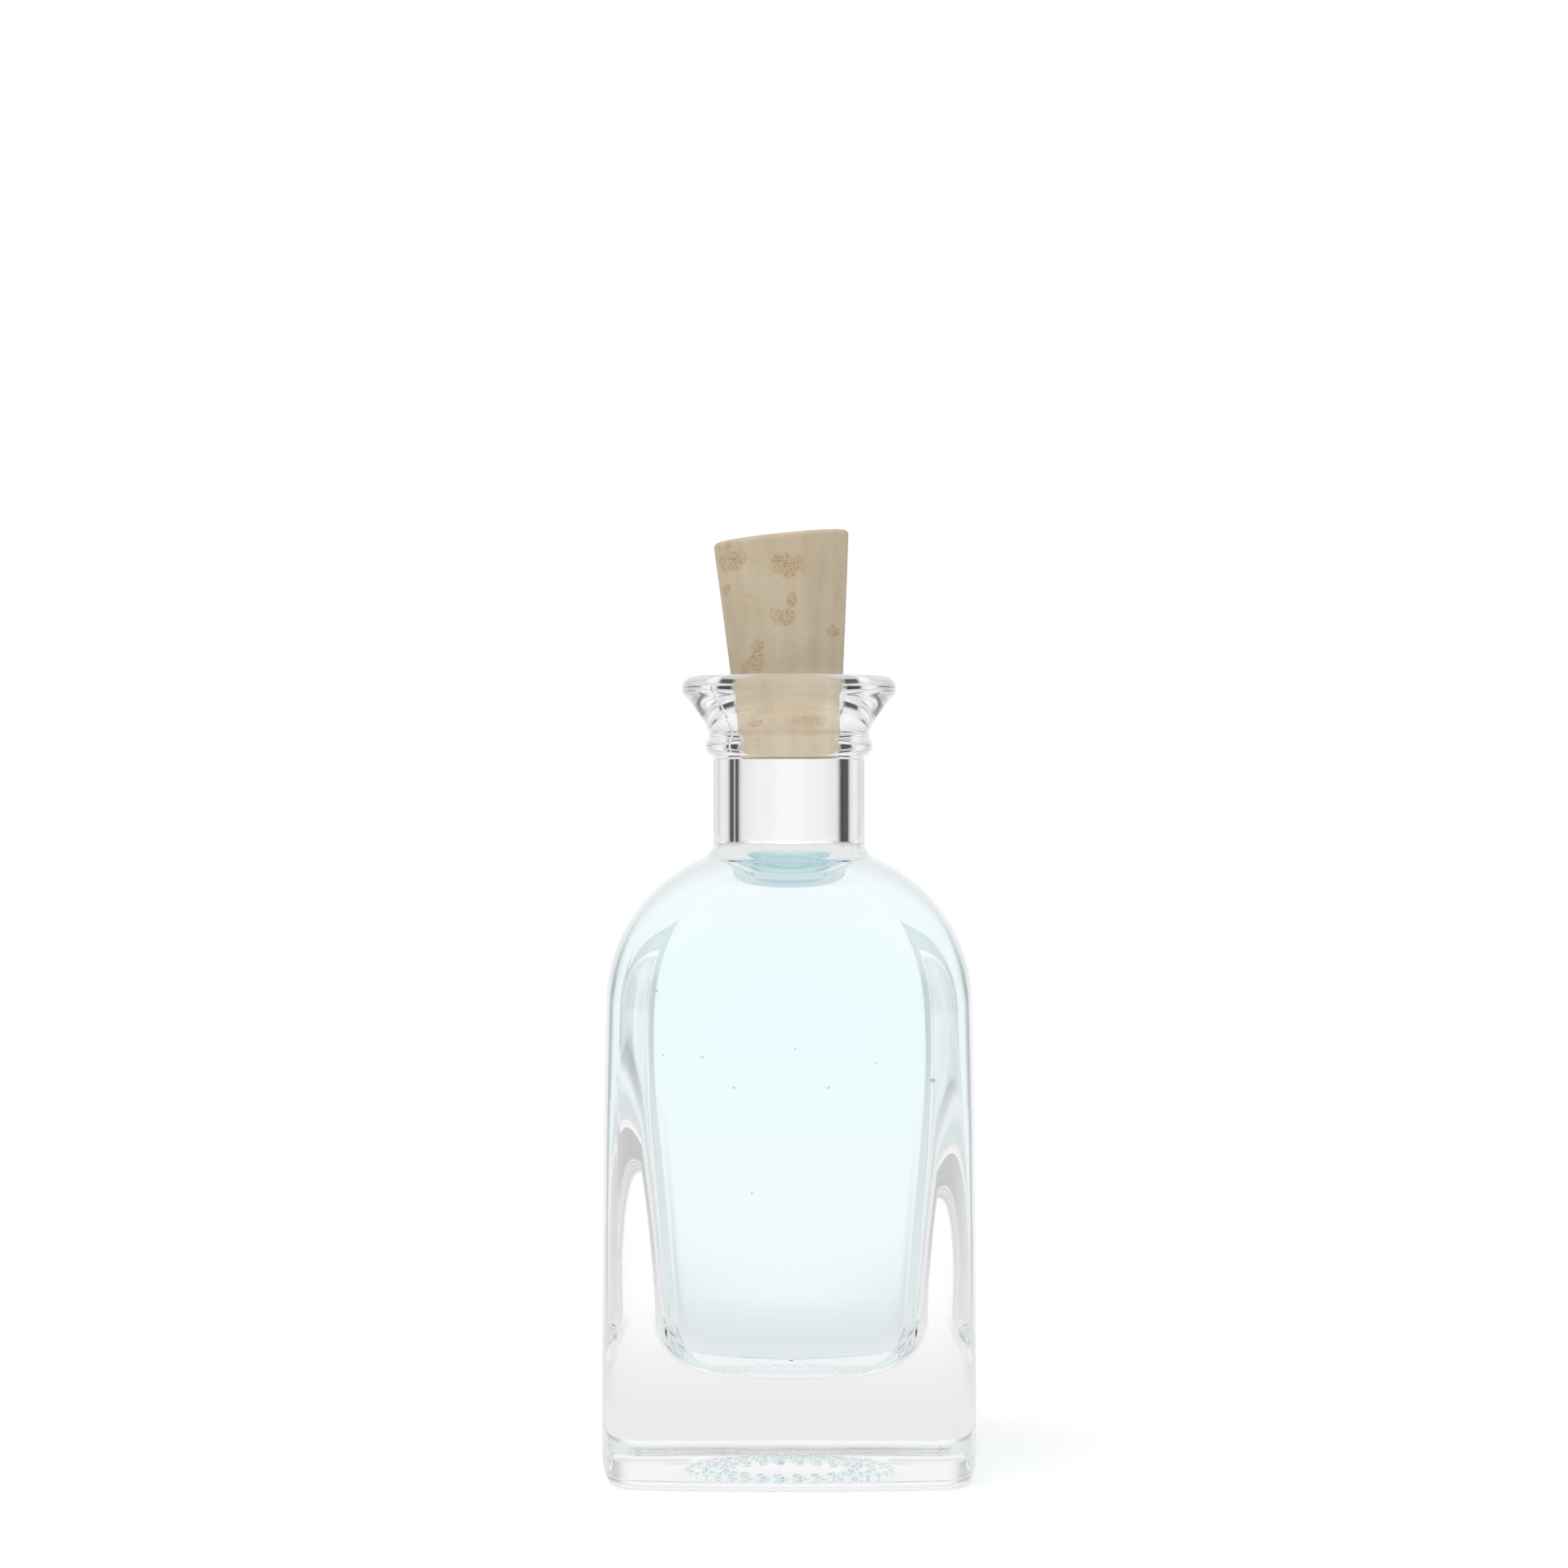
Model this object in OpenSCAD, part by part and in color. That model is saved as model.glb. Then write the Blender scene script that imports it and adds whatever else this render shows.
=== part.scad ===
// Small square apothecary bottle of clear pressed and blown glass, filled with a pale
// blue liquid and closed with a tapered natural cork that leans in the mouth.
// Millimetres, +Z up. The origin is on the bottle's axis, on the plane it stands on.
// The front is -Y and the cork's top leans towards -X.

/* [Body] */
// Width of the square body across the middle of its slightly crowned sides
body_w = 40.9; // [36:0.1:60]
// Radius of the crowned sides, seen from above
body_face_r = 122; // [60:1:300]
// Radius of the upright corners, seen from above
body_corner_r = 4.5; // [2:0.1:10]
// Radius of the heel, where the sides turn under to the base
heel_r = 2.1; // [1:0.1:4]
// Height above which the sides draw in a little towards the shoulder
draft_z = 22; // [10:1:36]
// How far each side has drawn in where the shoulder starts
draft = 0.35; // [0:0.05:1]
// Height at which the sides start to turn in to the shoulder
shoulder_z = 50.2; // [40:0.1:80]
// Distance of the shoulder arc's centre from the bottle's axis
shoulder_inset = 2.8; // [0:0.2:5]
// Width of the shallow push-up in the underside
punt_d = 28; // [14:1:30]
// Height of the push-up at its centre
punt_h = 0.9; // [0.3:0.1:2]

/* [Neck and lip] */
// Outer diameter of the plain neck
neck_d = 16.6; // [15.6:0.2:17.4]
// Length of the plain neck, from the shoulder's fillet to the ring
neck_h = 9.35; // [4:0.05:20]
// Radius of the fillet between the shoulder and the neck
neck_fillet_r = 2.1; // [1:0.1:4]
// Outer diameter of the ring below the lip
ring_d = 18.4; // [18.2:0.1:20]
// Height of the ring
ring_h = 2.3; // [1.6:0.1:3]
// Outer diameter at the groove between the ring and the lip
groove_d = 17.6; // [17.4:0.1:18]
// Height of the flared flank, from the groove to the middle of the lip's rim
flank_h = 5.2; // [3:0.2:9]
// Outer diameter of the lip
lip_d = 23.5; // [21:0.5:30]
// Radius of the lip's rounded rim
lip_edge_r = 1.3; // [0.8:0.1:1.6]

/* [Bore] */
// Diameter of the straight bore in the neck
bore_d = 11.4; // [9:0.1:12.4]
// Diameter of the mouth at the lip, inside its rounded edge
mouth_d = 12.9; // [12.5:0.1:14]
// Depth of the tapered seat for the cork
seat_h = 8.6; // [6:0.2:12]
// Radius of the mouth's rounded edge
mouth_edge_r = 0.5; // [0.2:0.1:1]
// Radius of the bore's lower edge, where it opens into the shoulder
bore_flare_r = 2; // [1:0.2:3]

/* [Cavity] */
// Height of the cavity's floor above the standing plane, at the middle
base_t = 10; // [6:0.5:15]
// Radius of the dished floor
floor_r = 45; // [24:1:80]
// Radius between the floor and the walls
floor_corner_r = 6; // [2:0.5:7]
// Width of the cavity just above its floor
cavity_low_w = 28.6; // [24:0.2:33]
// Thickness of the glass where the shoulder starts
shoulder_wall = 3.1; // [1.6:0.1:4]
// Drop of the start of the cavity's shoulder below the start of the outer one
shoulder_drop = 0.2; // [0:0.1:6]
// Distance of the cavity's own shoulder arc's centre from the bottle's axis
cavity_inset = 4.9; // [1:0.1:6]

/* [Contents] */
// Drop from the lower end of the straight bore to the liquid's surface
fill_drop = 2; // [0.6:0.1:6]
// Gap between the liquid and the glass, so that the two solids share no face
fill_gap = 0.05; // [0.02:0.01:0.2]

/* [Cork] */
// Length of the cork
cork_len = 24; // [14:0.5:40]
// Depth of the cork's lower end below the lip
cork_in = 8.6; // [5:0.2:10]
// Half angle of the cork's taper, in degrees
cork_taper = 4.7; // [3.5:0.1:6]
// Lean of the cork in the mouth, in degrees
cork_lean = 2.5; // [0:0.1:3]
// Slant of the cork's top against its axis, in degrees
cork_slant = 3.4; // [0:0.2:6]
// Radius of the cork's lower edge
cork_edge_r = 0.4; // [0.2:0.1:0.8]
// Play between the cork and its seat where they come closest
cork_play = 0.08; // [0.04:0.01:0.3]

/* [Hidden] */

// Facets of a full turn, where the surface is a true one
$fn = 96;
// Facets of one side and of one upright corner of the body
face_steps = 4;
corner_steps = 8;
// Rings along each arc of the outline, and up the sides
arc_steps = 5;
shoulder_steps = 12;
side_steps = 5;
wall_steps = 8;
// Angle short of upright at which a blend stops, so that it never runs along its wall
blend_stop = 12;
// Share of the floor's arc that the flat middle of the floor takes
floor_middle_share = 0.2;
// Exponent of the superellipse that the cavity's walls follow in plan: 2 is a circle
cavity_power = 5.5;
// Facets of a full turn of the cavity
cavity_steps = 56;
// How square the cavity is in plan at its floor and at its shoulder: 0 is round and 1 is as
// square as the walls between them
floor_square_share = 0.6;
shoulder_square_share = 0.7;
// Share of the wall's height in which the plan changes from the floor's to the walls', and
// share of the shoulder's radius in which it changes, below and above the shoulder's start
floor_blend_share = 0.35;
shoulder_blend_share = 0.45;
// Angle below level at which the flared flank runs into the lip's rounded rim
rim_start = 48;
// Curve of the flared flank: 1 is a straight cone, and more bends outwards
flank_curve_share = 1.35;
// Overrun of every cut past the face that it opens
overrun = 1;

body_half = body_w / 2;
shoulder_half = body_half - draft;
neck_r = neck_d / 2;
bore_r = bore_d / 2;
mouth_r = mouth_d / 2;

// The shoulder is an arc seen from the front. The neck's fillet rests on the outside of
// that arc, and the bore's rounded lower edge on the outside of the cavity's own arc. Such
// a blend's centre lies run to the side of the arc's centre and rises above it.
shoulder_r = shoulder_half - shoulder_inset;
cavity_high = shoulder_half - shoulder_wall;
inner_r = cavity_high - cavity_inset;
inner_z = shoulder_z - shoulder_drop;
neck_run = neck_r + neck_fillet_r - shoulder_inset;
bore_run = bore_r + bore_flare_r - cavity_inset;
function blend_rise(reach, run) = sqrt(pow(reach, 2) - pow(run, 2));
neck_turn = acos(neck_run / (shoulder_r + neck_fillet_r));
bore_turn = acos(bore_run / (inner_r + bore_flare_r));
neck_base_z = shoulder_z + blend_rise(shoulder_r + neck_fillet_r, neck_run);
bore_base_z = inner_z + blend_rise(inner_r + bore_flare_r, bore_run);

// Heights of the neck's finish, from the neck's base up
neck_top_z = neck_base_z + neck_h;
ring_z = neck_top_z + ring_h / 2;
groove_z = neck_top_z + ring_h;
lip_top_z = groove_z + flank_h + lip_edge_r;
fill_z = bore_base_z - fill_drop;

// The cavity's walls flare from its floor to the shoulder
cavity_low = cavity_low_w / 2;
floor_turn = asin((cavity_low - floor_corner_r) / (floor_r - floor_corner_r));
wall_z = base_t + floor_r - (floor_r - floor_corner_r) * cos(floor_turn);

// The cork's lower end bears on one side of the seat and its middle on the other side of
// the mouth, which sets both its sideways place and its diameter.
seat_slope = (mouth_r - bore_r) / seat_h;
seat_r = max(bore_r, mouth_r - seat_slope * cork_in);
cork_x = (seat_r - mouth_r + cork_in * (tan(cork_taper) + tan(cork_lean))) / 2;
cork_low_r = seat_r - cork_play - cork_x;
cork_z = lip_top_z - cork_in;
cork_top_r = cork_low_r + cork_len * tan(cork_taper);

// Points of an arc about centre, from angle a to angle b
function arc(centre, r, a, b, steps) =
    [for (i = [0:steps]) let (t = a + (b - a) * i / steps) centre + r * [cos(t), sin(t)]];

// A point turned by q quarters of a turn
function quarter(q, p) = q == 0 ? p : quarter(q - 1, [-p.y, p.x]);

// Plan of a square with crowned sides and round corners, as pairs of a point and its outward
// normal. A side's arc is centred at [inset, 0] and a corner's at [c, c], and they touch
// where those two centres are face_r - corner_r apart.
function plan(half, face_r, corner_r) =
    let (inset = half - face_r,
        c = (inset + sqrt(2 * pow(face_r - corner_r, 2) - pow(inset, 2))) / 2,
        turn = atan2(c, c - inset))
    [for (q = [0:3], i = [0:face_steps + corner_steps - 1])
        let (on_face = i < face_steps,
            a = on_face ? turn * (2 * i / face_steps - 1)
                : turn + (90 - 2 * turn) * (i - face_steps) / corner_steps,
            normal = [cos(a), sin(a)],
            p = on_face ? [inset, 0] + face_r * normal : [c, c] + corner_r * normal)
        [quarter(q, p), quarter(q, normal)]];

// One ring of a loft, from [square, round, height]: the plan's points times square plus their
// normals times round. Round alone is a circle, and a negative round draws the plan in.
function ring(pairs, size) =
    [for (pair = pairs) let (at = size[0] * pair[0] + size[1] * pair[1]) [at.x, at.y, size[2]]];

// Closed solid through a list of rings, from the lowest to the highest
module loft(rings) {
    n = len(rings[0]);
    top = len(rings) - 1;
    sides = [for (j = [0:top - 1], i = [0:n - 1])
        let (a = j * n + i, b = j * n + (i + 1) % n)
        each [[a, a + n, b + n], [a, b + n, b]]];
    caps = [[for (i = [0:n - 1]) i], [for (i = [n - 1:-1:0]) top * n + i]];
    polyhedron(points = [for (r = rings) each r], faces = concat(sides, caps), convexity = 4);
}

// Rings of the body from the base to the neck, as [square, round, height]
function body_rings() = concat(
    [for (p = arc([-heel_r, heel_r], heel_r, -90, 0, arc_steps)) [1, p.x, p.y]],
    [for (i = [0:side_steps - 1]) let (u = i / side_steps)
        [1 - draft / body_half * u * u, 0, draft_z + (shoulder_z - draft_z) * u]],
    [for (p = arc([shoulder_inset, shoulder_z], shoulder_r, 0, neck_turn, shoulder_steps)) closing_ring(p)],
    [for (p = arc([neck_r + neck_fillet_r, neck_base_z], neck_fillet_r,
        180 + neck_turn, 180 + blend_stop, arc_steps)) closing_ring(p)]);

// Above the shoulder's start the square closes in to the round neck. Here p is [half width,
// height], and the share of the square goes from 1 to 0.
function closing_ring(p) = let (share = (p.x - neck_r) / (shoulder_half - neck_r))
    [share * shoulder_half / body_half, (1 - share) * neck_r, p.y];

// Outline of the cavity from its floor to the bore, as [half width, height], drawn in by
// gap on every side
function cavity_outline(gap) = concat(
    arc([0, base_t + floor_r], floor_r - gap,
        floor_middle_share * floor_turn - 90, floor_turn - 90, arc_steps),
    arc([cavity_low - floor_corner_r, wall_z], floor_corner_r - gap, floor_turn - 90, 0, arc_steps),
    [for (i = [1:wall_steps - 1]) let (u = i / wall_steps, s = (1 - cos(180 * u)) / 2)
        [cavity_low + (cavity_high - cavity_low) * s - gap, wall_z + (inner_z - wall_z) * u]],
    arc([cavity_inset, inner_z], inner_r - gap, 0, bore_turn, shoulder_steps),
    arc([bore_r + bore_flare_r, bore_base_z], bore_flare_r + gap,
        180 + bore_turn, 180 + blend_stop, arc_steps));

// Soft step from 0 to 1 while t goes from 0 to 1
function soft_step(t) = (1 - cos(180 * max(0, min(1, t)))) / 2;

// Square part of the cavity's half width w at height z: most of it on the floor, all of it
// along the walls, and none where the shoulder meets the bore
function cavity_square(w, z) =
    let (blend_h = shoulder_blend_share * inner_r,
        low = 1 - (1 - floor_square_share)
            * (1 - soft_step((z - base_t) / (floor_blend_share * (inner_z - base_t)))),
        high = 1 - (1 - shoulder_square_share) * soft_step((z - inner_z + blend_h) / (2 * blend_h)),
        closing = z > inner_z ? max(0, w - bore_r) * cavity_high / (cavity_high - bore_r) : w)
    low * high * closing;

// Plan of the cavity for a half width of 1, as the same pairs as the body's
function cavity_plan() =
    [for (i = [0:cavity_steps - 1])
        let (a = 360 * i / cavity_steps, way = [cos(a), sin(a)],
            reach = pow(pow(abs(way.x), cavity_power) + pow(abs(way.y), cavity_power), -1 / cavity_power))
        [reach * way, way]];

module cavity_solid(gap = 0) {
    unit = cavity_plan();
    loft([for (p = cavity_outline(gap)) let (square = cavity_square(p.x + gap, p.y))
        ring(unit, [square, p.x - square, p.y])]);
}

module body_solid() {
    outer = plan(body_half, body_face_r, body_corner_r);
    loft([for (size = body_rings()) ring(outer, size)]);
}

// The neck with its ring and flared lip, as one turned solid that starts inside the body
module finish_solid() {
    ring_e = ring_h / 2;
    ring_x = ring_d / 2 - ring_e;
    lip_x = lip_d / 2 - lip_edge_r;
    lip_z = lip_top_z - lip_edge_r;
    groove_r = groove_d / 2;
    flank_x = lip_x + lip_edge_r * cos(rim_start);
    flank_z = lip_z - lip_edge_r * sin(rim_start);
    ring_low = -acos((neck_r - ring_x) / ring_e);
    ring_high = acos((groove_r - ring_x) / ring_e);
    rotate_extrude() polygon(concat(
        [[0, neck_base_z - overrun], [neck_r, neck_base_z - overrun]],
        arc([ring_x, ring_z], ring_e, ring_low, ring_high, 2 * arc_steps),
        [for (i = [0:arc_steps]) let (u = i / arc_steps)
            [groove_r + (flank_x - groove_r) * pow(u, flank_curve_share),
             groove_z + (flank_z - groove_z) * u]],
        arc([lip_x, lip_z], lip_edge_r, blend_stop - rim_start, 90, arc_steps),
        [[0, lip_top_z]]));
}

// The bore with its tapered seat and rounded mouth, open past both ends
module bore_solid() {
    rotate_extrude() polygon(concat(
        [[0, bore_base_z - overrun], [bore_r, bore_base_z - overrun], [bore_r, lip_top_z - seat_h]],
        arc([mouth_r + mouth_edge_r, lip_top_z - mouth_edge_r], mouth_edge_r, 180, 90, arc_steps),
        [[mouth_r + mouth_edge_r, lip_top_z + overrun], [0, lip_top_z + overrun]]));
}

// Shallow dished push-up in the underside, which leaves a flat bearing ring round it
module punt_solid() {
    a = punt_d / 2;
    r = (a * a + punt_h * punt_h) / (2 * punt_h);
    turn = asin(a / r);
    rotate_extrude() polygon(concat(
        [[0, -overrun], [a, -overrun]],
        arc([0, punt_h - r], r, 90 - turn, 90, arc_steps)));
}

module glass_bottle() {
    color([0.86, 0.92, 0.93, 0.45])
    difference() {
        union() {
            body_solid();
            finish_solid();
        }
        cavity_solid();
        bore_solid();
        punt_solid();
    }
}

module liquid_fill() {
    color([0.62, 0.87, 0.93, 0.8])
    difference() {
        cavity_solid(fill_gap);
        translate([-body_half, -body_half, fill_z]) cube([body_w, body_w, body_w]);
    }
}

module cork_stopper() {
    // The slanted top is cut from a blank that is a little longer than the cork
    blank_len = cork_len + 2 * cork_top_r * tan(cork_slant);
    blank_r = cork_low_r + blank_len * tan(cork_taper);
    color([0.74, 0.67, 0.55])
    translate([cork_x, 0, cork_z])
    rotate([0, -cork_lean, 0])
    difference() {
        rotate_extrude() polygon(concat(
            [[0, 0]],
            arc([cork_low_r - cork_edge_r, cork_edge_r], cork_edge_r, -90, 0, arc_steps),
            [[blank_r, blank_len], [0, blank_len]]));
        translate([0, 0, cork_len])
        rotate([0, -cork_slant, 0])
        translate([-body_half, -body_half, 0]) cube([body_w, body_w, body_w]);
    }
}

glass_bottle();
liquid_fill();
cork_stopper();
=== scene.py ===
"""Small square apothecary bottle of clear glass, filled with a pale blue liquid, with its cork.

Sizes are in millimetres in the classes and in metres in the meshes. +Z is up, the bottle
stands on z = 0 with its axis at x = y = 0, and its front looks along -Y.
"""
import logging
import math
from dataclasses import dataclass
from enum import Enum

import bpy
import numpy as np
from bpy.types import ID, Material, Node, NodeSocket, NodeTree, Object
from mathutils import Matrix, Vector


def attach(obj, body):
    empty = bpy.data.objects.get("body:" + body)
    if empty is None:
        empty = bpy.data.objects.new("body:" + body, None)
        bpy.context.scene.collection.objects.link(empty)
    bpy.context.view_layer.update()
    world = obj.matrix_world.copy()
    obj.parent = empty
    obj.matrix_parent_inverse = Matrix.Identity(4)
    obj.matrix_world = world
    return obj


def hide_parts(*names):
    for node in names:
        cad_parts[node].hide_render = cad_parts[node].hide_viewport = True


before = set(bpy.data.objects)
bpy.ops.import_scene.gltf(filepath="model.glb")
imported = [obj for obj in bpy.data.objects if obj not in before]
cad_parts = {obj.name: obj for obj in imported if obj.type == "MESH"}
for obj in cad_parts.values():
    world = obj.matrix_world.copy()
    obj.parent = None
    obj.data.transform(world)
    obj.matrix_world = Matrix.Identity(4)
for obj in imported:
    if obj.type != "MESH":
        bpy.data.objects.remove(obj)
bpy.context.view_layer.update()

log = logging.getLogger("bottle")
MM = 0.001
PHOTO_SIDE_PX = 1932
GLASS_IOR = 1.52
WATER_IOR = 1.34

# The commonest types of node, and settings that several nodes share
MATH = "ShaderNodeMath"
RANGE = "ShaderNodeMapRange"
SMOOTHSTEP = {"interpolation_type": "SMOOTHSTEP"}
TIMES = {"operation": "MULTIPLY"}
TIMES_PLUS = {"operation": "MULTIPLY_ADD"}

# Short names of types
Array = np.ndarray
Pair = tuple[float, float]
Triple = tuple[float, float, float]
Colour = tuple[float, float, float, float]


class Slot(Enum):
    """Material slots of the record."""

    GLASS = "clear_glass"
    LIQUID = "blue_liquid"
    CORK = "natural_cork"


class Body(Enum):
    """Moving bodies of the frame."""

    BOTTLE = "bottle"
    CORK = "cork"


# Curves and meshes


def smooth(t: Array) -> Array:
    """Smooth step: 3t^2 - 2t^3, with t held between 0 and 1."""
    t = np.clip(t, 0.0, 1.0)
    return t * t * (3.0 - 2.0 * t)


def between(low: float, high: float, count: int) -> Array:
    """Evenly spaced values from low to high, without these two."""
    return np.linspace(low, high, count + 2)[1:-1]


def arc(centre: Pair, radius: float, start: float, end: float, steps: int) -> Array:
    """Points of an arc: centre + radius * (cos t, sin t) for t from start to end.

    Args:
        centre: Centre in mm.
        radius: Radius in mm.
        start: First angle in degrees.
        end: Last angle in degrees.
        steps: Number of equal steps.

    Returns:
        An array of steps + 1 points.
    """
    t = np.radians(np.linspace(start, end, steps + 1))
    return np.stack([centre[0] + radius * np.cos(t), centre[1] + radius * np.sin(t)], 1)


def line(a: Pair, b: Pair, steps: int) -> Array:
    """Points from a to b in equal steps, both ends included."""
    t = np.linspace(0.0, 1.0, steps + 1)[:, None]
    return np.asarray(a) * (1.0 - t) + np.asarray(b) * t


def joined(*runs: Array, least: float = 1e-4) -> Array:
    """One path of several runs, without the points that two runs share.

    Args:
        *runs: Arrays of points in mm, in order.
        least: Distance in mm under which a point is left out.

    Returns:
        The points of the whole path.
    """
    path = np.concatenate(runs)
    keep = np.ones(len(path), bool)
    keep[1:] = np.linalg.norm(np.diff(path, axis=0), axis=1) > least
    return path[keep]


def rise_and_turn(run: float, reach: float) -> Pair:
    """Height and angle in degrees at which a link of length reach spans the width run."""
    return math.sqrt(reach * reach - run * run), math.degrees(math.acos(run / reach))


def unit_circle(phi: Array) -> Array:
    """Points (cos phi, sin phi) of the unit circle."""
    return np.stack([np.cos(phi), np.sin(phi)], 1)


def ring_stack(flat: Array, z: Array) -> Array:
    """Rings of (ring, point, xy) with a height for each ring."""
    high = np.broadcast_to(z[:, None, None], (*flat.shape[:2], 1))
    return np.concatenate([flat, high], 2)


def put(name: str, data: ID) -> Object:
    """Adds an object to the scene.

    Args:
        name: Name of the object.
        data: Its mesh, lamp or camera data.

    Returns:
        The object, at the origin.
    """
    made = bpy.data.objects.new(name, data)
    bpy.context.scene.collection.objects.link(made)
    return made


@dataclass(frozen=True)
class Grid:
    """Closed surface through rings of points, with a fan of triangles over each end.

    The faces are the quads (j, i), (j, i+1), (j+1, i+1), (j+1, i), so they point outwards
    where the rings turn anticlockwise and follow each other upwards.
    """

    rings: Array
    slots: Array | None = None

    def arrays(self, start: int) -> tuple[Array, Array, Array, Array]:
        """The grid as flat arrays for a mesh.

        Args:
            start: Number of points that come before this grid in the mesh.

        Returns:
            The points in mm, the corners of the faces, their counts and their material indices.
        """
        m, n, _ = self.rings.shape
        poles = np.stack([self.rings[0].mean(0), self.rings[-1].mean(0)])
        points = np.concatenate([self.rings.reshape(-1, 3), poles])
        j, i = np.meshgrid(np.arange(m - 1), np.arange(n), indexing="ij")
        k = (i + 1) % n
        quads = np.stack([j * n + i, j * n + k, (j + 1) * n + k, (j + 1) * n + i], 2)
        a, b = np.arange(n), (np.arange(n) + 1) % n
        low = np.stack([b, a, np.full(n, m * n)], 1)
        high = np.stack([a + (m - 1) * n, b + (m - 1) * n, np.full(n, m * n + 1)], 1)
        corners = np.concatenate([quads.reshape(-1), low.reshape(-1), high.reshape(-1)])
        slots = np.zeros(m - 1, int) if self.slots is None else self.slots
        index = np.concatenate([np.repeat(slots, n), np.full(n, slots[0]), np.full(n, slots[-1])])
        sizes = np.concatenate([np.full((m - 1) * n, 4), np.full(2 * n, 3)])
        return points, corners + start, sizes, index


def grid_object(name: str, grids: list[Grid]) -> Object:
    """One smooth mesh object made of closed grids.

    Args:
        name: Name of the object and its mesh.
        grids: The closed surfaces.

    Returns:
        The new object, at the origin, with its place in its mesh.
    """
    parts, start = [], 0
    for grid in grids:
        parts.append(grid.arrays(start))
        start += len(parts[-1][0])
    points, loops, sizes, index = (np.concatenate([part[k] for part in parts]) for k in range(4))
    mesh = bpy.data.meshes.new(name)
    mesh.vertices.add(len(points))
    mesh.vertices.foreach_set("co", (points * MM).astype(np.float32).reshape(-1))
    mesh.loops.add(len(loops))
    mesh.loops.foreach_set("vertex_index", loops.astype(np.int32))
    mesh.polygons.add(len(sizes))
    mesh.polygons.foreach_set("loop_start", (np.cumsum(sizes) - sizes).astype(np.int32))
    mesh.polygons.foreach_set("loop_total", sizes.astype(np.int32))
    mesh.polygons.foreach_set("use_smooth", np.ones(len(sizes), bool))
    mesh.polygons.foreach_set("material_index", index.astype(np.int32))
    mesh.update(calc_edges=True)
    mesh.validate()
    log.info("%s: %d points, %d triangles", name, len(points), int((sizes - 2).sum()))
    return put(name, mesh)


@dataclass(frozen=True)
class Plan:
    """Square with four shallow arcs for sides and round corners, seen from above.

    A point is found by the angle of its outward normal. Within turn of a side's middle it
    lies on that side's arc, and otherwise on the corner's arc about (corner, corner).
    """

    half: float
    face_r: float
    corner_r: float

    @property
    def corner(self) -> float:
        """Place c of a corner's centre along both X and Y.

        The arcs touch where |(c, c) - (half - F, 0)| = F - R, with face_r as F and corner_r as R.

        Returns:
            The place in mm.
        """
        inset = self.half - self.face_r
        gap = inset * inset - (self.face_r - self.corner_r) ** 2
        return (inset + math.sqrt(inset * inset - 2.0 * gap)) / 2.0

    def points(self, phi: Array) -> Array:
        """Points of the outline, each worked out beside the +X side and turned to its own.

        Args:
            phi: Angles of the outward normals, in radians.

        Returns:
            The points, as (n, 2).
        """
        side = np.round(phi / (math.pi / 2.0)) * math.pi / 2.0
        a = phi - side
        c = self.corner
        turn = math.atan2(c, c - self.half + self.face_r)
        on_face = np.abs(a) <= turn
        x = np.where(on_face, self.half - self.face_r + self.face_r * np.cos(a),
                     c + self.corner_r * np.cos(a))
        y = np.where(on_face, self.face_r * np.sin(a), np.sign(a) * c + self.corner_r * np.sin(a))
        cos, sin = np.cos(side), np.sin(side)
        return np.stack([x * cos - y * sin, x * sin + y * cos], 1)


# Finishes


def linear(hexcode: str) -> Colour:
    """Linear colour of an sRGB hex value such as "#C8B08A"."""
    s = [int(hexcode[k : k + 2], 16) / 255.0 for k in (1, 3, 5)]
    return (*[c / 12.92 if c <= 0.04045 else ((c + 0.055) / 1.055) ** 2.4 for c in s], 1.0)


def grey(v: float) -> Colour:
    """Linear grey of value v."""
    return (v, v, v, 1.0)


def node(tree: NodeTree, kind: str, settings: dict | None = None, **links: object) -> Node:
    """Adds a node, sets its properties, and fills or links its inputs.

    Args:
        tree: Node tree that the node goes into.
        kind: Blender's type name of the node.
        settings: Properties of the node itself.
        **links: Inputs by socket name with "_" for a space, or by number as "i0", "i1".
            A socket is linked, and so is a node by its first output. Anything else is set
            as the input's value.

    Returns:
        The new node.
    """
    made = tree.nodes.new(kind)
    for key, value in (settings or {}).items():
        setattr(made, key, value)
    for key, value in links.items():
        numbered = key[0] == "i" and key[1:].isdigit()
        socket = made.inputs[int(key[1:]) if numbered else key.replace("_", " ")]
        if isinstance(value, Node):
            value = value.outputs[0]
        if isinstance(value, NodeSocket):
            tree.links.new(value, socket)
        else:
            socket.default_value = value
    return made


def set_stops(ramp: Node, stops: list[tuple[float, Colour]]) -> None:
    """Gives a colour ramp its stops.

    Args:
        ramp: The ramp's node.
        stops: Each stop's place from 0 to 1 and its linear colour, in order.
    """
    elements = ramp.color_ramp.elements
    while len(elements) > 1:
        elements.remove(elements[0])
    elements[0].position, elements[0].color = stops[0]
    for place, colour in stops[1:]:
        elements.new(place).color = colour


def new_material(name: str) -> tuple[Material, NodeTree]:
    """Makes an empty node material.

    Args:
        name: Name of the material.

    Returns:
        The material, and its tree.
    """
    made = bpy.data.materials.new(name)
    made.use_nodes = True
    made.node_tree.nodes.clear()
    return made, made.node_tree


# Inputs of a shader that lets all light through
CLEAR = {"Base_Color": grey(1.0), "Roughness": 0.0, "Transmission_Weight": 1.0}


def span(edges: Pair, unit: float = 1.0) -> dict[str, float]:
    """Inputs that let a map range run between two edges, given in the unit."""
    return {"From_Min": edges[0] * unit, "From_Max": edges[1] * unit}


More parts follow.
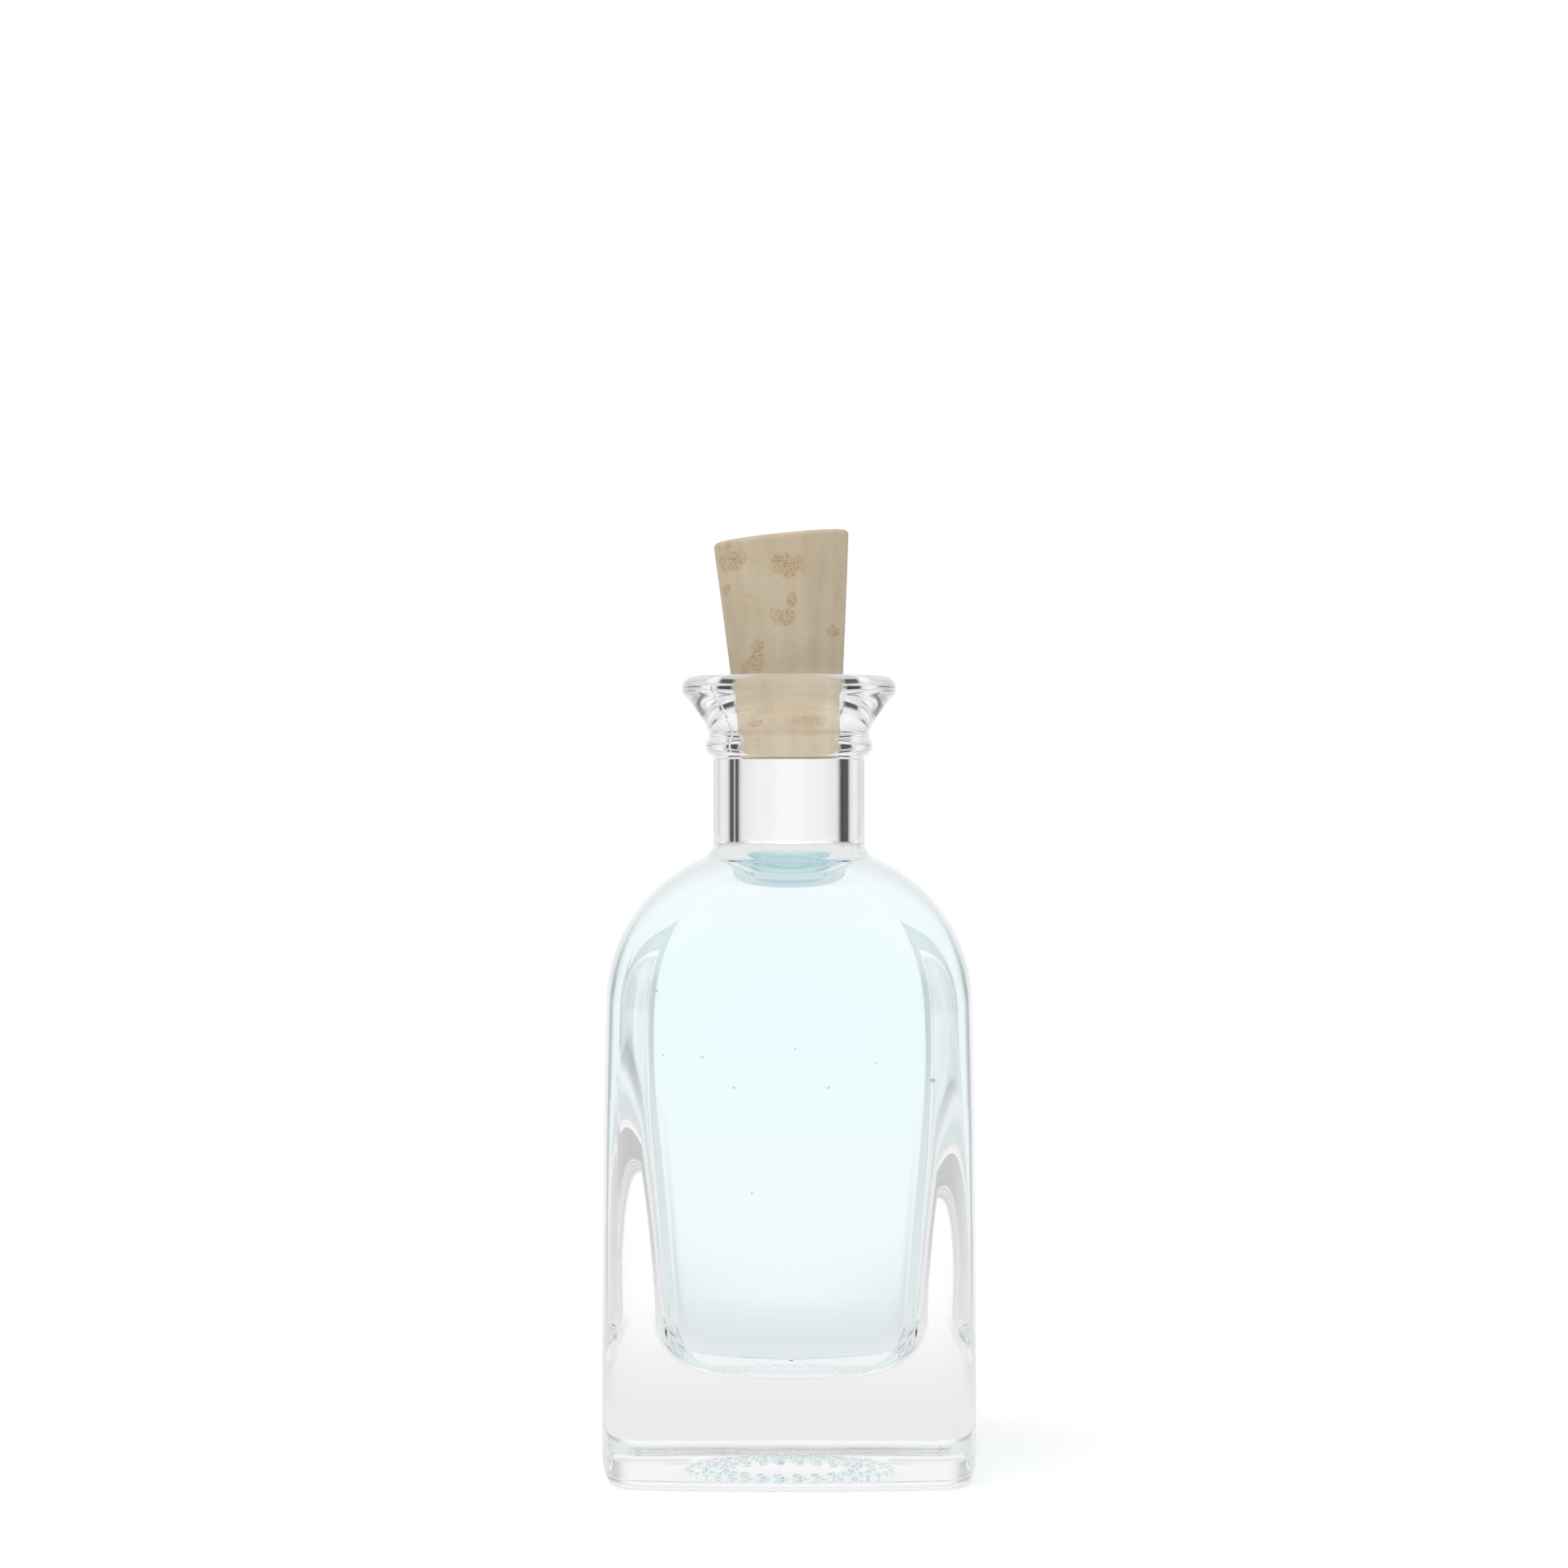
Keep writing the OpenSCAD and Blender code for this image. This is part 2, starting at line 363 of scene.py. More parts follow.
@dataclass(frozen=True)
class ClearGlass:
    """Soda-lime glass, blown in a mould and fire polished."""

    name: str = "soda_lime_glass_blown"
    ior: float = GLASS_IOR
    ripple_mm: float = 7.0
    ripple_depth_mm: float = 0.004

    def make(self) -> Material:
        """Clear, colourless and very smooth, with the faint ripple that a mould leaves.

        Returns:
            The material.
        """
        made, tree = new_material(self.name)
        where = node(tree, "ShaderNodeTexCoord").outputs["Object"]
        ripple = node(tree, "ShaderNodeTexNoise", {"noise_dimensions": "3D"}, Vector=where,
                      Scale=1.0 / (self.ripple_mm * MM), Detail=1.0, Roughness=0.4)
        bump = node(tree, "ShaderNodeBump", Height=ripple.outputs["Fac"], Strength=1.0,
                    Distance=self.ripple_depth_mm * MM)
        glass = node(tree, "ShaderNodeBsdfPrincipled", **CLEAR, IOR=self.ior,
                     Normal=bump.outputs["Normal"])
        node(tree, "ShaderNodeOutputMaterial", Surface=glass)
        return made


@dataclass(frozen=True)
class WettedGlass:
    """Inner wall of the glass where the liquid touches it: the step from glass to water."""

    name: str = "glass_wall_wetted"
    ior: float = GLASS_IOR / WATER_IOR

    def make(self) -> Material:
        """Nearly invisible, because the liquid bends light almost as glass does.

        Returns:
            The material.
        """
        made, tree = new_material(self.name)
        wall = node(tree, "ShaderNodeBsdfPrincipled", **CLEAR, IOR=self.ior)
        node(tree, "ShaderNodeOutputMaterial", Surface=wall)
        return made


@dataclass(frozen=True)
class BlueWater:
    """Thin watery liquid with a trace of blue dye."""

    name: str = "dyed_water"
    ior: float = WATER_IOR
    tint: str = "#3FDAE8"
    density: float = 6.2

    def make(self) -> Material:
        """Pale blue where thin, and clearer teal where light runs a long way through it.

        Returns:
            The material.
        """
        made, tree = new_material(self.name)
        water = node(tree, "ShaderNodeBsdfPrincipled", **CLEAR, IOR=self.ior)
        dye = node(tree, "ShaderNodeVolumeAbsorption", Color=linear(self.tint),
                   Density=self.density)
        node(tree, "ShaderNodeOutputMaterial", Surface=water, Volume=dye)
        return made


@dataclass(frozen=True)
class Lenticel:
    """A breathing pore of the bark, as a patch of crumbly specks: place and half size in mm."""

    x: float
    y: float
    z: float
    across: float
    high: float
    depth_ratio: float = 2.5

    @property
    def scale(self) -> Triple:
        """Factors that bring the patch to a ball of radius 1, from metres."""
        halves = (self.across, self.depth_ratio * self.across, self.high)
        return tuple(1.0 / (half * MM) for half in halves)


@dataclass(frozen=True)
class NaturalCork:
    """Natural cork, cut with a rotary blade and sanded.

    The pairs named edge or few are the two values between which a mask runs from 0 to 1.
    """

    name: str = "natural_cork_sanded"
    pale: str = "#C8BAA2"
    deep: str = "#B8A88D"
    shades_at: Pair = (0.5, 0.85)
    cloud_mm: float = 5.0
    cloud_weight: float = 0.6
    band_mm: float = 1.6
    band_stretch: float = 0.08
    band_weight: float = 0.4
    band_offset: float = 0.05
    grain_mm: float = 0.35
    grain_weight: float = 0.25
    relief_mm: float = 0.08
    speck: str = "#AC8A58"
    speck_mm: float = 0.24
    speck_edge: Pair = (0.62, 0.28)
    speck_few: Pair = (0.42, 0.6)
    blush: float = 0.22
    rag_mm: float = 1.1
    rag_weight: float = 1.2
    patch_edge: Pair = (1.75, 1.35)
    loose_mm: float = 3.4
    loose_edge: Pair = (0.63, 0.7)
    loose_weight: float = 0.8
    patches: tuple[Lenticel, ...] = (
        Lenticel(-0.2, -7.2, 98.0, 1.9, 1.4),
        Lenticel(-6.0, -3.6, 98.6, 1.6, 1.3),
        Lenticel(-6.7, -2.6, 95.6, 0.6, 0.7),
        Lenticel(-0.6, -7.0, 92.4, 1.5, 1.0),
        Lenticel(0.3, -7.0, 94.3, 0.6, 0.9),
        Lenticel(-3.5, -5.8, 88.2, 0.9, 1.9),
        Lenticel(2.0, -6.0, 81.9, 1.6, 0.8),
        Lenticel(-3.3, -5.2, 81.7, 0.8, 0.6),
        Lenticel(4.9, -4.6, 91.0, 1.0, 0.7),
    )

    def make(self) -> Material:
        """Matt beige with cloudy bands along the cut and patches of rusty crumbly pores.

        Returns:
            The material.
        """
        made, tree = new_material(self.name)
        where = node(tree, "ShaderNodeTexCoord").outputs["Object"]
        grain = node(tree, "ShaderNodeTexNoise", Vector=where, Scale=1.0 / (self.grain_mm * MM),
                     Detail=3.0, Roughness=0.7).outputs["Fac"]
        mask = self.patch_mask(tree, where)
        speck = self.specks(tree, where, grain, mask)
        blush = node(tree, MATH, TIMES_PLUS, i0=mask, i1=self.blush, i2=speck)
        colour = node(tree, "ShaderNodeMix", {"data_type": "RGBA", "clamp_factor": True},
                      i0=blush, i6=self.ground(tree, where, grain), i7=linear(self.speck))
        relief = node(tree, MATH, TIMES_PLUS, i0=speck, i1=-1.0, i2=grain)
        bump = node(tree, "ShaderNodeBump", Height=relief, Strength=0.5,
                    Distance=self.relief_mm * MM)
        cork = node(tree, "ShaderNodeBsdfPrincipled", Base_Color=colour.outputs[2], Roughness=0.85,
                    Normal=bump.outputs["Normal"])
        node(tree, "ShaderNodeOutputMaterial", Surface=cork)
        return made

    def ground(self, tree: NodeTree, where: NodeSocket, grain: NodeSocket) -> Node:
        """Colour of the sound cork: bands along the length, clouds and fine grain.

        Args:
            tree: Node tree of the material.
            where: Object coordinates.
            grain: The fine noise.

        Returns:
            The colour's node.
        """
        cloud = node(tree, "ShaderNodeTexNoise", Vector=where, Scale=1.0 / (self.cloud_mm * MM),
                     Detail=5.0, Roughness=0.55)
        along = node(tree, "ShaderNodeMapping", Vector=where, Scale=(1.0, 1.0, self.band_stretch))
        bands = node(tree, "ShaderNodeTexNoise", Vector=along,
                     Scale=1.0 / (self.band_mm * MM), Detail=3.0, Roughness=0.5)
        tone = self.band_offset
        for noise, weight in ((bands.outputs["Fac"], self.band_weight),
                              (cloud.outputs["Fac"], self.cloud_weight),
                              (grain, self.grain_weight)):
            tone = node(tree, MATH, TIMES_PLUS, i0=noise, i1=weight, i2=tone)
        shades = node(tree, "ShaderNodeValToRGB", Fac=tone)
        set_stops(shades, list(zip(self.shades_at, (linear(self.deep), linear(self.pale)))))
        return shades

    def specks(self, tree: NodeTree, where: NodeSocket, grain: NodeSocket, mask: Node) -> Node:
        """Mask of the rusty specks: small cells, thinned out by the grain, within the patches.

        Args:
            tree: Node tree of the material.
            where: Object coordinates.
            grain: The fine noise.
            mask: Mask of the patches.

        Returns:
            The mask's node.
        """
        cell = node(tree, "ShaderNodeTexVoronoi", {"feature": "F1"}, Vector=where,
                    Scale=1.0 / (self.speck_mm * MM))
        dots = node(tree, RANGE, SMOOTHSTEP, Value=cell.outputs["Distance"],
                    **span(self.speck_edge))
        few = node(tree, RANGE, Value=grain, **span(self.speck_few))
        some = node(tree, MATH, TIMES, i0=dots, i1=few)
        return node(tree, MATH, TIMES, i0=some, i1=mask)

    def patch_mask(self, tree: NodeTree, where: NodeSocket) -> Node:
        """Mask of the named patches and of smaller ones round the cork, with ragged edges.

        Args:
            tree: Node tree of the material.
            where: Object coordinates.

        Returns:
            The mask's node.
        """
        rag = node(tree, "ShaderNodeTexNoise", Vector=where, Scale=1.0 / (self.rag_mm * MM),
                   Detail=3.0)
        loose = node(tree, "ShaderNodeTexNoise", Vector=where, Scale=1.0 / (self.loose_mm * MM),
                     Detail=2.0)
        mask = node(tree, RANGE, Value=loose.outputs["Fac"],
                    To_Max=self.loose_weight, **span(self.loose_edge))
        for patch in self.patches:
            apart = node(tree, "ShaderNodeVectorMath", {"operation": "SUBTRACT"}, i0=where,
                         i1=(patch.x * MM, patch.y * MM, patch.z * MM))
            share = node(tree, "ShaderNodeVectorMath", TIMES, i0=apart, i1=patch.scale)
            reach = node(tree, "ShaderNodeVectorMath", {"operation": "LENGTH"}, i0=share)
            torn = node(tree, MATH, TIMES_PLUS, i0=rag.outputs["Fac"],
                        i1=self.rag_weight, i2=reach.outputs["Value"])
            inside = node(tree, RANGE, SMOOTHSTEP, Value=torn, **span(self.patch_edge))
            mask = node(tree, MATH, {"operation": "MAXIMUM"}, i0=mask, i1=inside)
        return mask


# The bottle


@dataclass
class GlassBottle:
    """One piece of glass: body, shoulder, neck, ring, flared lip, bore and cavity.

    Names that end in square are shares of the square in a round outline, and names that end
    in fade are heights over which something sets in.
    """

    half: float = 20.45
    face_r: float = 122.0
    corner_r: float = 4.5
    heel_r: float = 1.4
    shoulder_z: float = 50.2
    shoulder_inset: float = 2.8
    shoulder_r: float = 17.3
    draft_z: float = 22.0
    punt_r: float = 14.0
    punt_h: float = 0.3
    neck_r: float = 8.3
    neck_top_z: float = 77.4
    fillet_r: float = 2.1
    ring_r: float = 9.2
    ring_h: float = 2.3
    ring_foot_h: float = 0.4
    groove_r: float = 8.7
    groove_round: float = 0.5
    flank_h: float = 5.2
    flank_bend: float = 1.35
    lip_r: float = 11.75
    lip_edge_r: float = 1.3
    lip_under_turn: float = 48.0
    bore_r: float = 5.7
    mouth_r: float = 6.45
    mouth_edge_r: float = 0.5
    seat_h: float = 8.6
    bore_flare_r: float = 2.0
    base_t: float = 10.0
    floor_r: float = 45.0
    floor_corner_r: float = 6.0
    cavity_low: float = 14.3
    cavity_high: float = 17.0
    cavity_power: float = 5.5
    floor_square: float = 0.6
    floor_blend: float = 0.35
    shoulder_square: float = 0.75
    shoulder_blend: float = 0.9
    cavity_shift: float = 0.2
    shift_top_z: float = 60.2
    shift_fade: float = 30.0
    inner_shoulder_r: float = 12.1
    inner_shoulder_z: float = 50.0
    wetted_z: float = 62.1
    seam_h: float = 0.035
    seam_w: float = 0.13
    seam_turns: tuple[float, ...] = (45.0, 225.0)
    seam_foot_z: float = 2.5
    seam_fade: float = 3.0
    seam_on_body: float = 0.25
    seam_lip_fade: float = 2.0
    seam_top_gap: float = 0.6
    seam_top_fade: float = 1.2
    dash_h: float = 0.35
    dash_half: float = 0.55
    dash_edge: float = 0.35
    dash_cos: float = -0.3
    dash_cos_edge: float = 0.7
    dash_rows: tuple[tuple[float, int], ...] = ((6.8, 22), (8.6, 28), (10.4, 34))
    # First and last share of the push-up's radius, and number of rings: closest at the dashes
    punt_runs: tuple[tuple[float, float, int], ...] = (
        (0.02, 0.40, 4), (0.42, 0.82, 36), (0.86, 1.0, 4))
    turn_step: float = 1.5
    seam_steps: tuple[float, ...] = (-1.2, -0.9, -0.6, -0.3, 0.3, 0.6, 0.9, 1.2)

    @property
    def turns(self) -> Array:
        """Normal angles of the mesh's columns: even steps, and finer ones beside the seams.

        Returns:
            The angles in radians, in order.
        """
        even = np.arange(0.0, 360.0, self.turn_step)
        fine = [turn + np.array(self.seam_steps) for turn in self.seam_turns]
        return np.radians(np.sort(np.concatenate([even, *fine])))

    @property
    def fillet(self) -> Pair:
        """Rise and turn of the fillet between the shoulder's arc and the neck."""
        return rise_and_turn(self.neck_r + self.fillet_r - self.shoulder_inset,
                             self.shoulder_r + self.fillet_r)

    @property
    def neck_base_z(self) -> float:
        """Height at which the fillet runs into the straight neck."""
        return self.shoulder_z + self.fillet[0]

    @property
    def lip_top_z(self) -> float:
        """Height of the lip's top."""
        return self.neck_top_z + self.ring_h + self.flank_h + self.lip_edge_r

    def outside(self) -> Array:
        """Outer surface, from the middle of the underside up to the lip's top.

        Returns:
            The points in mm, as (ring, column, xyz).
        """
        phi = self.turns
        n = unit_circle(phi)
        plan = Plan(self.half, self.face_r, self.corner_r).points(phi)
        turned = self.finish_profile()
        neck = ring_stack(turned[:, 0, None, None] * n, turned[:, 1])
        whole = np.concatenate([*self.underside(plan), *self.body(plan), neck])
        whole[..., :2] += (self.seam_h * self.seam_ridge(whole))[..., None] * n
        return whole

    def underside(self, plan: Array) -> list[Array]:
        """Rings of the push-up with its dashes, of the flat round it, and of the heel.

        Args:
            plan: Square outline of the body.

        Returns:
            The rings of each of the three.
        """
        phi = self.turns
        n = unit_circle(phi)
        punt = np.concatenate([np.linspace(*run) for run in self.punt_runs])
        dish = ring_stack(punt[:, None, None] * self.punt_r * n, self.punt_h * (1.0 - punt * punt))
        dish[..., 2] += self.dash_h * self.dash_relief(punt[:, None] * self.punt_r, phi)
        t = between(0.0, 1.0, count=5)[:, None, None]
        flat = (1.0 - t) * self.punt_r * n + t * (plan - self.heel_r * n)
        heel = arc((-self.heel_r, self.heel_r), self.heel_r, -90.0, 0.0, steps=12)
        bend = ring_stack(plan + heel[:, 0, None, None] * n, heel[:, 1])
        return [dish, ring_stack(flat, np.zeros(len(flat))), bend]

    def body(self, plan: Array) -> list[Array]:
        """Rings of the walls and of the shoulder, up to the straight neck.

        A shoulder ring is s * P(phi) + (1 - s) * neck_r * n(phi), where P is the square outline
        and n the unit circle, so that the square closes in to a round neck.

        Args:
            plan: Square outline of the body.

        Returns:
            The rings of both.
        """
        wall_z = between(self.heel_r, self.shoulder_z, count=18)
        up = np.clip((wall_z - self.draft_z) / (self.shoulder_z - self.draft_z), 0.0, 1.0) ** 2
        draft = 1.0 - up * (1.0 - (self.shoulder_inset + self.shoulder_r) / self.half)
        turn = self.fillet[1]
        curve = joined(
            arc((self.shoulder_inset, self.shoulder_z), self.shoulder_r, 0.0, turn, steps=44),
            arc((self.neck_r + self.fillet_r, self.neck_base_z), self.fillet_r, 180.0 + turn, 180.0,
                steps=20))
        w = curve[:, 0]
        s = np.clip((w - self.neck_r) / (w[0] - self.neck_r), 0.0, 1.0)[:, None, None]
        round_part = (1.0 - s) * self.neck_r * unit_circle(self.turns)
        return [ring_stack(draft[:, None, None] * plan, wall_z),
                ring_stack(s * plan * w[0] / self.half + round_part, curve[:, 1])]

    def dash_relief(self, radius: Array, phi: Array) -> Array:
        """Rows of small dashes sunk into the push-up, from 0 to 1.

        Each row is the product of a window over the radius and one over the angle, with soft
        edges, and a row's dashes start at an angle of their own.

        Args:
            radius: Radius of each ring in mm, as (n, 1).
            phi: Angle of each column in radians.

        Returns:
            The relief, as (ring, column).
        """
        relief = np.zeros((len(radius), len(phi)))
        for row, count in self.dash_rows:
            band = smooth((self.dash_half - np.abs(radius - row)) / self.dash_edge)
            wave = np.cos(count * phi + row)
            relief += band * smooth((wave - self.dash_cos) / self.dash_cos_edge)
        return relief

    def seam_ridge(self, rings: Array) -> Array:
        """Height of the mould seam: exp(-(d / w)^2) at distance d from its line.

        Args:
            rings: Rings of the outer surface.

        Returns:
            The height at each point: 1 on the neck, less on the body and more on the lip.
        """
        z = rings[..., 2]
        ridge = np.zeros(z.shape)
        for turn in self.seam_turns:
            at = int(np.argmin(np.abs(self.turns - math.radians(turn))))
            apart = np.linalg.norm(rings - rings[:, at : at + 1], axis=2)
            ridge += np.exp(-((apart / self.seam_w) ** 2))
        neck = smooth((z - self.neck_base_z + self.seam_fade) / self.seam_fade)
        lip = 1.0 + smooth((z - self.neck_top_z) / self.seam_lip_fade)
        foot = smooth((z - self.seam_foot_z) / self.seam_fade)
        top = smooth((self.lip_top_z - self.seam_top_gap - z) / self.seam_top_fade)
        return ridge * (self.seam_on_body + (1.0 - self.seam_on_body) * neck) * lip * foot * top

    def finish_profile(self) -> Array:
        """Turned profile of the neck, ring, groove, flank and lip.

        Returns:
            Its points upwards, as (radius, height).
        """
        ring_e = self.ring_h / 2.0
        ring_x, ring_z = self.ring_r - ring_e, self.neck_top_z + ring_e
        corner = np.array([self.groove_r, self.neck_top_z + self.ring_h])
        lip_x, lip_z = self.lip_r - self.lip_edge_r, self.lip_top_z - self.lip_edge_r
        under = math.radians(self.lip_under_turn)
        flank_x = lip_x + self.lip_edge_r * math.cos(under)
        flank_z = lip_z - self.lip_edge_r * math.sin(under)
        low = -math.acos((self.neck_r - ring_x) / ring_e)
        high = math.acos((self.groove_r - ring_x) / ring_e) - self.groove_round / ring_e
        u = np.linspace(self.groove_round / self.flank_h, 1.0, num=21)
        flank = np.stack([corner[0] + (flank_x - corner[0]) * u ** self.flank_bend,
                          corner[1] + (flank_z - corner[1]) * u], 1)
        ring = arc((ring_x, ring_z), ring_e, math.degrees(low), math.degrees(high), steps=18)
        # The groove is rounded by a parabola from the ring to the flank, with the corner between
        t = between(0.0, 1.0, count=9)[:, None]
        groove = (1.0 - t) ** 2 * ring[-1] + 2.0 * t * (1.0 - t) * corner + t ** 2 * flank[0]
        neck = line((self.neck_r, self.neck_base_z),
                    (self.neck_r, self.neck_top_z - self.ring_foot_h), steps=6)
        return joined(
            neck[1:], ring, groove, flank,
            arc((lip_x, lip_z), self.lip_edge_r, -self.lip_under_turn, 90.0, steps=22),
            line((lip_x, self.lip_top_z), (self.mouth_r + self.mouth_edge_r, self.lip_top_z),
                 steps=3))

    def cavity_profile(self) -> Array:
        """Profile of the bore and cavity.

        Returns:
            Its points from the mouth down to nearly the floor's middle, as (radius, height).
        """
        top, edge, flare = self.lip_top_z, self.mouth_edge_r, self.bore_flare_r
        shoulder_r, shoulder_z = self.inner_shoulder_r, self.inner_shoulder_z
        shoulder_x = self.cavity_high - shoulder_r
        rise, turn = rise_and_turn(self.bore_r + flare - shoulder_x, shoulder_r + flare)
        flare_z = shoulder_z + rise
        low, high, corner = self.cavity_low, self.cavity_high, self.floor_corner_r
        floor_turn = math.degrees(math.asin((low - corner) / (self.floor_r - corner)))
        floor_z = self.base_t + self.floor_r
        wall_z = floor_z - (self.floor_r - corner) * math.cos(math.radians(floor_turn))
        u = np.linspace(0.0, 1.0, num=29)
        walls = np.stack([high + (low - high) * (1.0 - np.cos(np.pi * u)) / 2.0,
                          shoulder_z + (wall_z - shoulder_z) * u], 1)
        pole = -90.3
        return joined(
            arc((self.mouth_r + edge, top - edge), edge, 90.0, 180.0, steps=8),
            line((self.mouth_r, top - edge), (self.bore_r, top - self.seat_h), steps=10),
            line((self.bore_r, top - self.seat_h), (self.bore_r, flare_z), steps=8),
            arc((self.bore_r + flare, flare_z), flare, 180.0, 180.0 + turn, steps=20),
            arc((shoulder_x, shoulder_z), shoulder_r, turn, 0.0, steps=40),
            walls,
            arc((low - corner, wall_z), corner, 0.0, floor_turn - 90.0, steps=22),
            arc((0.0, floor_z), self.floor_r, floor_turn - 90.0, pole, steps=20))

    def squareness(self, w: Array, z: Array) -> Array:
        """Share of the superellipse in the cavity's outline.

        It is smaller on the floor and at the shoulder, and falls to 0 where the shoulder meets
        the round bore.

        Args:
            w: Half width of each ring.
            z: Height of each ring.

        Returns:
            The share of each ring.
        """
        closing = (w - self.bore_r) / w * self.cavity_high / (self.cavity_high - self.bore_r)
        share = np.where(z < self.inner_shoulder_z, 1.0, closing)
        share = np.where(z < self.neck_base_z, np.clip(share, 0.0, 1.0), 0.0)
        rise = (z - self.base_t) / (self.floor_blend * (self.inner_shoulder_z - self.base_t))
        low = self.floor_square + (1.0 - self.floor_square) * smooth(rise)
        reach = self.shoulder_blend * self.inner_shoulder_r
        late = smooth((z - self.inner_shoulder_z + reach) / (2.0 * reach))
        return low * (1.0 - (1.0 - self.shoulder_square) * late) * share

    def inside(self, gap: float = 0.0, middle_r: float = 8.0) -> tuple[Array, Array]:
        """Rings of the bore and cavity, from the mouth down, drawn in by gap.

        A cavity ring is w * (q * U(phi) + (1 - q) * n(phi)), where U is the superellipse
        |x|^p + |y|^p = 1, n the unit circle and q the squareness.

        Args:
            gap: Distance in mm by which the rings are drawn in.
            middle_r: Radius within which the gap turns from inwards to upwards.

        Returns:
            The rings, and the height of each.
        """
        n = unit_circle(self.turns)
        power = self.cavity_power
        unit = n * ((np.abs(n) ** power).sum(1) ** (-1.0 / power))[:, None]
        path = self.cavity_profile()
        w, z = path[:, 0], path[:, 1]
        q = self.squareness(w, z)[:, None, None]
        rings = ring_stack(w[:, None, None] * (q * unit + (1.0 - q) * n), z)
        small = np.clip(w / middle_r, 0.0, 1.0)[:, None]
        rings[..., :2] -= gap * small[..., None] * n
        rings[..., 2] += gap * (1.0 - small)
        shift = smooth((self.shift_top_z - z) / self.shift_fade)
        rings[..., 0] += self.cavity_shift * shift[:, None]
        return rings, z

    def build(self) -> None:
        """The whole glass as one closed surface, with the wetted wall as its second material."""
        # The outside's last ring is also the inside's first
        outer = self.outside()[:-1]
        inner, z = self.inside()
        wet = np.concatenate([np.zeros(len(outer)), z < self.wetted_z]).astype(int)
        piece = grid_object("bottle_glass", [Grid(np.concatenate([outer, inner]), wet[1:])])
        piece.data.materials.append(ClearGlass().make())
        piece.data.materials.append(WettedGlass().make())
        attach(piece, Body.BOTTLE.value)
        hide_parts("glass_bottle")


@dataclass
class BlueLiquid:
    """The fill: it follows the cavity and ends in a hollow meniscus.

    An air bubble has its place across and up, and its radius. It lies air_depth in front of
    the axis, and less beside the middle, because the front wall is bent.
    """

    glass: GlassBottle
    gap: float = 0.02
    meniscus_h: float = 1.35
    meniscus_power: float = 14.0
    meniscus_rings: int = 30
    meniscus_pole: float = 0.02
    air_depth: float = 15.6
    air_bend: float = 0.004
    air_columns: int = 16
    air_rings: int = 9
    air_pole: float = 0.96
    air: tuple[Triple, ...] = (
        (-13.9, 52.2, 0.16), (-13.2, 45.6, 0.10), (-9.1, 45.4, 0.12),
        (-5.8, 42.2, 0.14), (0.6, 46.3, 0.10), (4.1, 42.2, 0.15),
        (9.1, 44.8, 0.10), (-3.9, 31.1, 0.12), (15.0, 42.9, 0.30),
    )

    def bubbles(self) -> list[Grid]:
        """Small air bubbles behind the front wall, as hollow spheres whose faces turn inwards.

        Returns:
            A grid for each bubble.
        """
        turn = np.linspace(0.0, 2.0 * math.pi, self.air_columns, endpoint=False)
        last = self.air_pole * math.pi / 2.0
        rise = np.linspace(last, -last, self.air_rings)
        ball = ring_stack(np.cos(rise)[:, None, None] * unit_circle(turn), np.sin(rise))
        slots = np.ones(self.air_rings - 1, int)
        return [Grid(ball * r + np.array([x, -self.air_depth + self.air_bend * x * x, z]), slots)
                for x, z, r in self.air]

    def build(self) -> None:
        """Closed liquid surface: cavity wall from the floor up, then the meniscus to its middle."""
        rings, z = self.glass.inside(self.gap)
        level = self.glass.wetted_z
        wall = rings[z < level][::-1]
        edge = wall[-1]
        centre = edge.mean(0)
        t = np.linspace(1.0, self.meniscus_pole, self.meniscus_rings)
        top = centre + (edge - centre) * t[:, None, None]
        top[..., 2] = level - self.meniscus_h * (1.0 - t ** self.meniscus_power)[:, None]
        slots = np.concatenate([np.zeros(len(wall)), np.ones(len(top) - 1)]).astype(int)
        fill = Grid(np.concatenate([wall, top]), slots)
        piece = grid_object("liquid_blue", [fill, *self.bubbles()])
        # The glass already bends the light where it touches the liquid
        piece.data.materials.append(BlueWater(name="dyed_water_at_glass", ior=1.0).make())
        piece.data.materials.append(BlueWater().make())
        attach(piece, Body.BOTTLE.value)
        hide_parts("liquid_fill")


